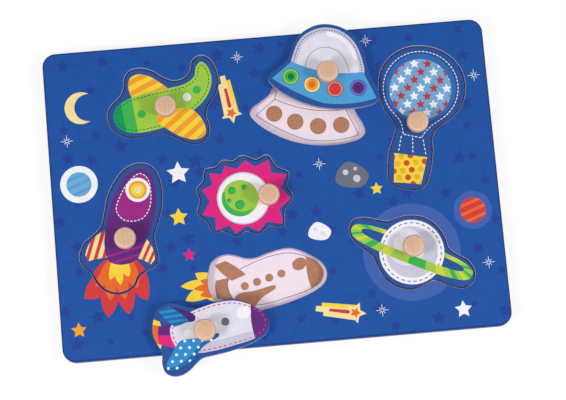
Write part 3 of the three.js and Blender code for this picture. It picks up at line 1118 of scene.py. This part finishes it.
printed_ply, tree, shader = new_finish("printed_ply", 0.45, 0.22)
grain = grain_along(tree, (90, 1300, 1300))
inked = times(tree, ink_layer(tree)[0], spread(tree, grain, 0.95, 1.03))
plug(tree, toned(tree, inked, 150.0, 0.95, 1.04), shader["Base Color"])
plug(tree, spread(tree, grain, 0.38, 0.52), shader["Roughness"])
add_bump(tree, shader, grain, 0.12, 0.08)
print("made", printed_ply.name)

# %% Sawn plywood edge
PLY = 1.2 * MM
GLUE_THICKNESS = 0.1
GLUE_STRENGTH = 0.4

sawn_ply, tree, shader = new_finish("sawn_ply", 0.75, 0.25)
spray, sprayed = ink_layer(tree)
height = place_node(tree, "ShaderNodeSeparateXYZ", Vector=object_coords(tree)).outputs["Z"]
layer = calc(tree, "DIVIDE", height, PLY)
crossed = calc(tree, "GREATER_THAN", calc(tree, "FRACT", calc(tree, "MULTIPLY", layer, 0.5)), 0.5)
glue = calc(tree, "LESS_THAN", calc(tree, "FRACT", layer), GLUE_THICKNESS)
plies = mixed(tree, "MIX", crossed, colour("ply"), colour("cross_ply"))
lines = mixed(tree, "MIX", calc(tree, "MULTIPLY", glue, GLUE_STRENGTH), plies, colour("glue"))
grain = grain_along(tree, (500, 500, 1800))
wood = times(tree, lines, spread(tree, grain, 0.86, 1.04))
plug(tree, mixed(tree, "MULTIPLY", sprayed, wood, spray), shader["Base Color"])
add_bump(tree, shader, grain, 0.25, 0.1)
print("made", sawn_ply.name)

# %% Bare birch underside
bare_birch, tree, shader = new_finish("bare_birch", 0.7, 0.25)
grain = grain_along(tree, (40, 620, 620))
streaks = spread(tree, grain, 0.0, 1.0, (0.32, 0.68))
wood = mixed(tree, "MIX", streaks, colour("birch_dark"), colour("birch_pale"))
plug(tree, toned(tree, wood, 60.0, 0.93, 1.04), shader["Base Color"])
add_bump(tree, shader, grain, 0.2, 0.1)
print("made", bare_birch.name)

# %% Brown hardboard, with white print where the ink attribute is marked
hardboard, tree, shader = new_finish("hardboard", 0.72, 0.25)
ink, printed = ink_layer(tree)
fibres = grain_along(tree, (900, 900, 900))
brown = mixed(tree, "MIX", spread(tree, fibres, 0.0, 1.0), colour("fibre_dark"), colour("fibre_pale"))
brown = toned(tree, brown, 120.0, 0.94, 1.05)
white = times(tree, ink, spread(tree, fibres, 0.96, 1.02))
pinholes = calc(tree, "MULTIPLY", printed, spread(tree, fibres, 0.55, 1.0, (0.26, 0.32)))
plug(tree, mixed(tree, "MIX", pinholes, brown, white), shader["Base Color"])
add_bump(tree, shader, fibres, 0.3, 0.1)
print("made", hardboard.name)

# %% Turned beech
WAVE_STRENGTH = 1

turned_beech, tree, shader = new_finish("turned_beech", 0.5, 0.3)
grain = grain_along(tree, (850, 850, 90))
rings = place_node(tree, "ShaderNodeTexWave", Vector=stretched(tree, (1, 1, 0.2)), Scale=120.0,
                   Distortion=5.0, Detail=2.0).outputs[WAVE_STRENGTH]
streaks = spread(tree, grain, 0.0, 1.0, (0.34, 0.7))
wood = mixed(tree, "MIX", streaks, colour("beech_dark"), colour("beech_pale"))
wood = mixed(tree, "MIX", spread(tree, rings, 0.0, 0.2, (0.2, 0.9)), wood, colour("beech_ring"))
# A paler ring where the crown rounds over into the rim, found from how far the normal tilts: a painted
# highlight.
normal = tree.nodes.new("ShaderNodeNewGeometry").outputs["Normal"]
upward = place_node(tree, "ShaderNodeSeparateXYZ", Vector=normal).outputs["Z"]
not_flat = spread(tree, upward, 0.35, 0.0, (0.95, 0.995))
not_steep = spread(tree, upward, 0.0, 1.0, (0.6, 0.9))
wood = mixed(tree, "MIX", calc(tree, "MULTIPLY", not_flat, not_steep), wood, colour("beech_painted_highlight"))
plug(tree, toned(tree, wood, 110.0, 0.95, 1.04), shader["Base Color"])
plug(tree, spread(tree, grain, 0.44, 0.58), shader["Roughness"])
add_bump(tree, shader, grain, 0.15, 0.08)
print("made", turned_beech.name)

# %% Plated steel
STEEL_TONE = (0.9, 1.04)

plated_steel, tree, shader = new_finish("plated_steel", 0.35, 0.5)
shader["Metallic"].default_value = 1.0
tone = use_group(tree, slow_tone, Scale=900.0, Low=STEEL_TONE[0], High=STEEL_TONE[1])
plug(tree, times(tree, colour("steel"), tone), shader["Base Color"])
plug(tree, spread(tree, tone, 0.42, 0.3, STEEL_TONE), shader["Roughness"])
print("made", plated_steel.name)

# %% [markdown]
# ## The board
#
# The board is the sheet that everything was sawn from. Its face is cut along the night sky and the
# seven cut-outs. Its outer edge is rounded over and painted. The edges of the cut-outs have just a
# touch of sandpaper: the flatter part of the round keeps its ink, and the steeper part and the top of
# the wall are painted lighter, a painted highlight that fades into the pale lavender wall below.

# %% Finish a sawn sheet
FACE, WALL, BACK = 0, 1, 2
FADE = 3.0
FACE_SLACK = 0.01 * MM


def finish_ply(piece, top, is_printed, edge_ink, wall_inks):
    """Sorts the faces into printed face, walls and back, inks the edges and fades the walls."""
    faces = piece.data.polygons
    for face in faces:
        if face.normal.z > LEVEL and face.center.z > top - FACE_SLACK:
            face.material_index = FACE
        elif face.normal.z < -LEVEL:
            face.material_index = BACK
        else:
            face.material_index = FACE if is_printed(face) else WALL
    paint(piece.data, [None if face.normal.z > LEVEL else edge_ink(face) for face in faces])
    paint_wall(piece.data, WALL, top, wall_inks, FADE)
    finish_mesh(piece, [printed_ply, sawn_ply, bare_birch])


print("a wall's colour fades over", FADE, "mm")

# %% Print, saw and round the board
FINER = 3
CUT_ROUND = 0.4
CUT_WRAP = 0.8
SANDED_STEPS = 3
EDGE_ZONE = 4.0
EDGE_STEPS = 6


def rounded_rectangle(loop, count=14):
    """A finer copy of a solid's rounded rectangle, with its sizes taken from the solid's own corners."""
    half_length, half_width = max(p.x for p in loop), max(p.y for p in loop)
    radius = half_width - max(p.y for p in loop if p.x > half_length - WELD)
    made = []
    for right, away, first in ((1, 1, 0), (-1, 1, 90), (-1, -1, 180), (1, -1, 270)):
        centre = Vector((right * (half_length - radius), away * (half_width - radius)))
        made += [centre + polar(radians(first + 90 * k / count), radius) for k in range(count + 1)]
    return made


board_edge = rounded_rectangle(board_loops[0])
BOARD_REACH = Vector((max(p.x for p in board_edge), max(p.y for p in board_edge)))


def at_edge(place):
    """Whether a place is at the board's outer edge, and not at a cut-out."""
    return abs(place.x) / MM > BOARD_REACH.x - EDGE_ZONE or abs(place.y) / MM > BOARD_REACH.y - EDGE_ZONE


edge_round = TRAY_HIGH.x / MM - BOARD_REACH.x
thickness = (TRAY_TOP - TRAY_LOW.z) / MM
cut_outs = [offset(smooth(loop, FINER), CUT_ROUND) for loop in board_loops[1:]]
board = flat_sheet("printed_board", TRAY_TOP, board_edge, cut_outs, night, "night")
outer_wall = quarter_round(edge_round, EDGE_STEPS) + [(0, thickness - edge_round)]
inner_wall = quarter_round(CUT_ROUND, SANDED_STEPS) + [(0, FADE - CUT_ROUND), (0, thickness - FADE)]
saw(board, (outer_wall, at_edge), (inner_wall, lambda place: not at_edge(place)))
# The steeper faces of the sanded round take the wall colour, whose lighter top is a painted highlight, so a
# thin pale line runs round each cut-out.
finish_ply(
    board, TRAY_TOP,
    is_printed=lambda face: at_edge(face.center) or face.normal.z > CUT_WRAP,
    edge_ink=lambda face: "night_edge" if at_edge(face.center) else "night",
    wall_inks=("rim", "sawdust"),
)
hand_over(board, "tray", "board_frame")
print("board faces:", len(board.data.polygons))

# %% [markdown]
# ## The pieces
#
# Each piece is the same sheet again, cut along its own figure. Its edges are sanded as the board's are,
# its walls show the plies, and its back is bare with a countersunk hole for the screw.
# A piece that lies on the board keeps its drawing: the drawing is moved and turned with its knob.

# %% Print and saw a piece
PIECE_ROUND = 0.3
BACK_ROUND = 0.2
CURVE_SLACK = 0.03
BORE_SIDES = 32
SCREW_SHOULDER = 0.7
INK_WRAP = 0.4
SEATS = {"saucer": Vector((28.5, 51.4)), "shuttle": Vector((-14.2, -62.6))}
LYING_TURN = {"shuttle": -2.2}
FIGURES = {
    "plane": plane, "saucer": saucer, "balloon": balloon, "rocket": rocket,
    "starburst": starburst, "shuttle": shuttle, "planet": planet,
}


def knob_axis(name):
    low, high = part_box(f"{name}_knob")
    return Vector(((low.x + high.x) / 2, (low.y + high.y) / 2)) / MM


def placed(name):
    """A piece's drawing where the piece is now."""
    here = knob_axis(name)
    seat = SEATS.get(name, here)
    lie = Matrix.Rotation(radians(LYING_TURN.get(name, 0.0)), 2)
    moved = Drawing()
    for shape in FIGURES[name].shapes:
        moved.shapes.append(shape._replace(loop=[here + lie @ (p - seat) for p in shape.loop]))
    return moved


def mean_reach(loop, centre):
    return sum((p - centre).length for p in loop) / len(loop)


def build_piece(name):
    node = f"{name}_piece"
    low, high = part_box(node)
    axis = knob_axis(name)
    top_loops, back_loops = level_loops(node, high.z), level_loops(node, low.z)
    bore, sink = mean_reach(top_loops[1], axis), mean_reach(back_loops[1], axis)
    cone = sink - bore
    thickness = (high.z - low.z) / MM
    edge = offset(smooth(top_loops[0], FINER), -PIECE_ROUND - CURVE_SLACK)
    bore_loop = disc(axis, bore, count=BORE_SIDES)

    def at_screw(place):
        return (Vector((place.x, place.y)) / MM - axis).length < 2 * sink

    piece = flat_sheet(f"{name}_printed", high.z, edge, [bore_loop], placed(name), "dusk")
    wall = [(0, FADE - PIECE_ROUND), (0, thickness - FADE - BACK_ROUND), (-BACK_ROUND, BACK_ROUND)]
    outer_wall = quarter_round(PIECE_ROUND, SANDED_STEPS) + wall
    screw_hole = [(0, thickness - cone - SCREW_SHOULDER), (-cone, cone), (0, SCREW_SHOULDER)]
    saw(piece, (outer_wall, lambda place: not at_screw(place)), (screw_hole, at_screw))
    finish_ply(
        piece, high.z,
        is_printed=lambda face: face.normal.z > INK_WRAP,
        edge_ink=lambda face: "dusk",
        wall_inks=("overspray", "dust"),
    )
    hand_over(piece, name, node)
    return piece


printed_pieces = {name: build_piece(name) for name in PIECES}
print("piece faces:", {name: len(piece.data.polygons) for name, piece in printed_pieces.items()})

# %% [markdown]
# ## The hardboard back
#
# The back is a plain brown sheet under the board, and its edge is painted with the board's. Inside each
# cut-out it carries a pale print of the piece that belongs there, which leaves the brown bare where the
# piece has its bright shapes. A child matches the piece to it. The shapes come from the same figures,
# so picture and piece always agree.

# %% Draw the floors of the cut-outs
FLOOR_LINE = 0.4


def cut_out_of(name):
    """The board's own loop round a piece's seat."""
    seat = SEATS.get(name) or knob_axis(name)
    return min(board_loops[1:], key=lambda loop: (sum(loop, Vector((0, 0))) / len(loop) - seat).length)


floors = Drawing()
for name in PIECES:
    field = floors.add("paper", smooth(cut_out_of(name), FINER))
    copies = {}
    for index, shape in enumerate(FIGURES[name].shapes):
        if shape.floor:
            ink = "pencil" if shape.floor == LINE else BARE
            copies[index] = floors.add(ink, shape.loop, copies.get(shape.within, field))
        if shape.floor == LINE:
            floors.add("paper", offset(shape.loop, -FLOOR_LINE), copies[index])
print("floor shapes:", len(floors.shapes))

# %% Print and cut the back
low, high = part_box("backing_panel")
back_edge = rounded_rectangle(level_loops("backing_panel", high.z)[0])
under_edge = rounded_rectangle(level_loops("backing_panel", low.z)[0])
edge_round = max(p.x for p in back_edge) - max(p.x for p in under_edge)
turned_under = [(-down, out) for out, down in quarter_round(edge_round, EDGE_STEPS)]
back = flat_sheet("printed_back", high.z, back_edge, [], floors, BARE)
saw(back, ([(0, (high.z - low.z) / MM - edge_round)] + turned_under, everywhere))


def back_ink(face):
    """No change on the printed face, paint on the edge and bare hardboard below."""
    if face.normal.z > LEVEL:
        return None
    return "night_edge" if face.normal.z > -LEVEL else BARE


paint(back.data, [back_ink(face) for face in back.data.polygons])
finish_mesh(back, [hardboard])
hand_over(back, "tray", "backing_panel")
print("back faces:", len(back.data.polygons))

# %% [markdown]
# ## Knobs
#
# A knob is turned on a lathe, so it is modelled as one: a small disc at the end of the screw hole is
# extruded ring by ring, down the hole, out along the foot, in at the waist and out again to the grip,
# and closed over the crown. One knob is made and copied, each copy with a mesh of its own, so that the
# grain, which follows the place, is different in each.

# %% A lathe, and copies for every piece
def turn_on_lathe(name, rings, facets):
    """A turned shape on the Z axis from rings of (radius, height) in millimetres."""
    radius, height = rings[0]
    bpy.ops.object.select_all(action="DESELECT")
    bpy.ops.mesh.primitive_circle_add(
        vertices=facets, radius=radius * MM, fill_type="NGON", location=(0, 0, height * MM))
    turned = bpy.context.object
    turned.name = name
    bpy.ops.object.transform_apply(location=True)
    start_editing(turned)
    for next_radius, next_height in rings[1:]:
        rise = (0, 0, (next_height - height) * MM)
        bpy.ops.mesh.extrude_edges_move(TRANSFORM_OT_translate={"value": rise})
        grow = next_radius / radius
        bpy.ops.transform.resize(value=(grow, grow, 1), center_override=(0, 0, next_height * MM))
        radius, height = next_radius, next_height
    bpy.ops.mesh.edge_face_add()
    stop_editing()
    return turned


def give_copies(model, looks, solid):
    """Puts a copy of a model where each piece has the solid, and takes the model away."""
    for name in PIECES:
        low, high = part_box(f"{name}_{solid}")
        place = Vector(((low.x + high.x) / 2, (low.y + high.y) / 2, low.z))
        copy = bpy.data.objects.new(f"{name}_{looks}", model.data.copy())
        copy.data.transform(Matrix.Translation(place))
        bpy.context.collection.objects.link(copy)
        hand_over(copy, name, f"{name}_{solid}")
    bpy.data.objects.remove(model)


print("pieces that get a knob and a screw:", len(PIECES))

# %% Turn a knob
KNOB_SIDES = 72
KNOB_FOOT = 5.8
KNOB_BEVEL = 0.3
KNOB_WAIST = 5.2
KNOB_WAIST_HEIGHT = 4.0
KNOB_FLARE = 0.62
KNOB_RIM_ROUND = 2.2
KNOB_CROWN = 0.4
CROWN_RINGS = (0.7, 0.4, 0.12)
SCREW_HOLE = 1.8
SCREW_HOLE_DEPTH = 7.3


def between(first, last, share):
    return first + (last - first) * share


def shares(count):
    return [k / count for k in range(1, count + 1)]


def knob_rings():
    low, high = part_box("plane_knob")
    rim, height = (high.x - low.x) / 2 / MM, (high.z - low.z) / MM
    shoulder = height - KNOB_CROWN - KNOB_RIM_ROUND
    rings = [
        (SCREW_HOLE, SCREW_HOLE_DEPTH), (SCREW_HOLE, KNOB_BEVEL), (SCREW_HOLE + KNOB_BEVEL, 0),
        (KNOB_FOOT - KNOB_BEVEL, 0), (KNOB_FOOT, KNOB_BEVEL),
    ]
    for share in shares(6):
        radius = between(KNOB_FOOT, KNOB_WAIST, sin(share * pi / 2))
        rings.append((radius, between(KNOB_BEVEL, KNOB_WAIST_HEIGHT, share)))
    for share in shares(10):
        radius = between(KNOB_WAIST, rim, share * share * (3 - 2 * share))
        rings.append((radius, between(KNOB_WAIST_HEIGHT, shoulder, share * KNOB_FLARE)))
    for share in [0, *shares(8)]:
        angle = pi / 2 * share
        rings.append((rim - KNOB_RIM_ROUND * (1 - cos(angle)), shoulder + KNOB_RIM_ROUND * sin(angle)))
    for share in CROWN_RINGS:
        rings.append(((rim - KNOB_RIM_ROUND) * share, height - KNOB_CROWN * share * share))
    return rings


model_knob = turn_on_lathe("model_knob", knob_rings(), KNOB_SIDES)
finish_mesh(model_knob, [turned_beech])
print("knob faces:", len(model_knob.data.polygons))
give_copies(model_knob, "turned_knob", "knob")

# %% [markdown]
# ## Screws
#
# Each knob is held by a countersunk screw whose head is sunk just under the surface of the piece's back.
# The same lathe makes its head, shank and point, two crossed bars cut the driver's cross, and the thread
# comes from moving each point of the shank inwards by how far it is round and up the helix.

# %% Turn, thread and slot a screw
SCREW_SIDES = 40
SCREW_HEAD = 3.0
SCREW_HEAD_RIM = 0.4
SCREW_BEVEL = 0.12
SCREW_SHANK = 1.5
SCREW_NECK = SCREW_HEAD_RIM + SCREW_HEAD - SCREW_SHANK
SCREW_POINT = 2.4
SCREW_TIP = 0.06
THREAD_PITCH = 1.3
THREAD_DEPTH = 0.32
THREAD_STEPS = 8
CROSS = (3.2, 0.8, 2.0)


def taper(length, height):
    """How much of its thickness the shank has at a height, which shrinks along the point."""
    return min(1.0, (length - height) / SCREW_POINT)


def screw_rings(length):
    rings = [(SCREW_HEAD - SCREW_BEVEL, 0), (SCREW_HEAD, SCREW_BEVEL), (SCREW_HEAD, SCREW_HEAD_RIM),
             (SCREW_SHANK, SCREW_NECK)]
    for share in shares(int((length - SCREW_NECK) / (THREAD_PITCH / THREAD_STEPS))):
        height = between(SCREW_NECK, length, share)
        rings.append((max(SCREW_SHANK * taper(length, height), SCREW_TIP), height))
    return rings


def cut_thread(screw, length):
    for vert in screw.data.vertices:
        height = vert.co.z / MM
        if height > SCREW_NECK + THREAD_PITCH:
            turns = height / THREAD_PITCH - atan2(vert.co.y, vert.co.x) / (2 * pi)
            ridge = abs(2 * (turns % 1.0) - 1)
            inward = 1 - THREAD_DEPTH * (1 - ridge) * taper(length, height) / SCREW_SHANK
            vert.co.x *= inward
            vert.co.y *= inward


def cut_cross(screw):
    for turn in (0, 90):
        bpy.ops.object.select_all(action="DESELECT")
        bpy.ops.mesh.primitive_cube_add(size=1, rotation=(0, 0, radians(turn)))
        cutter = bpy.context.object
        cutter.scale = Vector(CROSS) * MM
        bpy.ops.object.transform_apply(rotation=True, scale=True)
        bpy.context.view_layer.objects.active = screw
        slot_cut = screw.modifiers.new("cross", "BOOLEAN")
        slot_cut.object = cutter
        slot_cut.operation = "DIFFERENCE"
        bpy.ops.object.modifier_apply(modifier=slot_cut.name)
        bpy.data.objects.remove(cutter)


screw_low, screw_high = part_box("plane_screw")
screw_length = (screw_high.z - screw_low.z) / MM
model_screw = turn_on_lathe("model_screw", screw_rings(screw_length), SCREW_SIDES)
cut_thread(model_screw, screw_length)
cut_cross(model_screw)
finish_mesh(model_screw, [plated_steel])
print("screw faces:", len(model_screw.data.polygons))
give_copies(model_screw, "wood_screw", "screw")
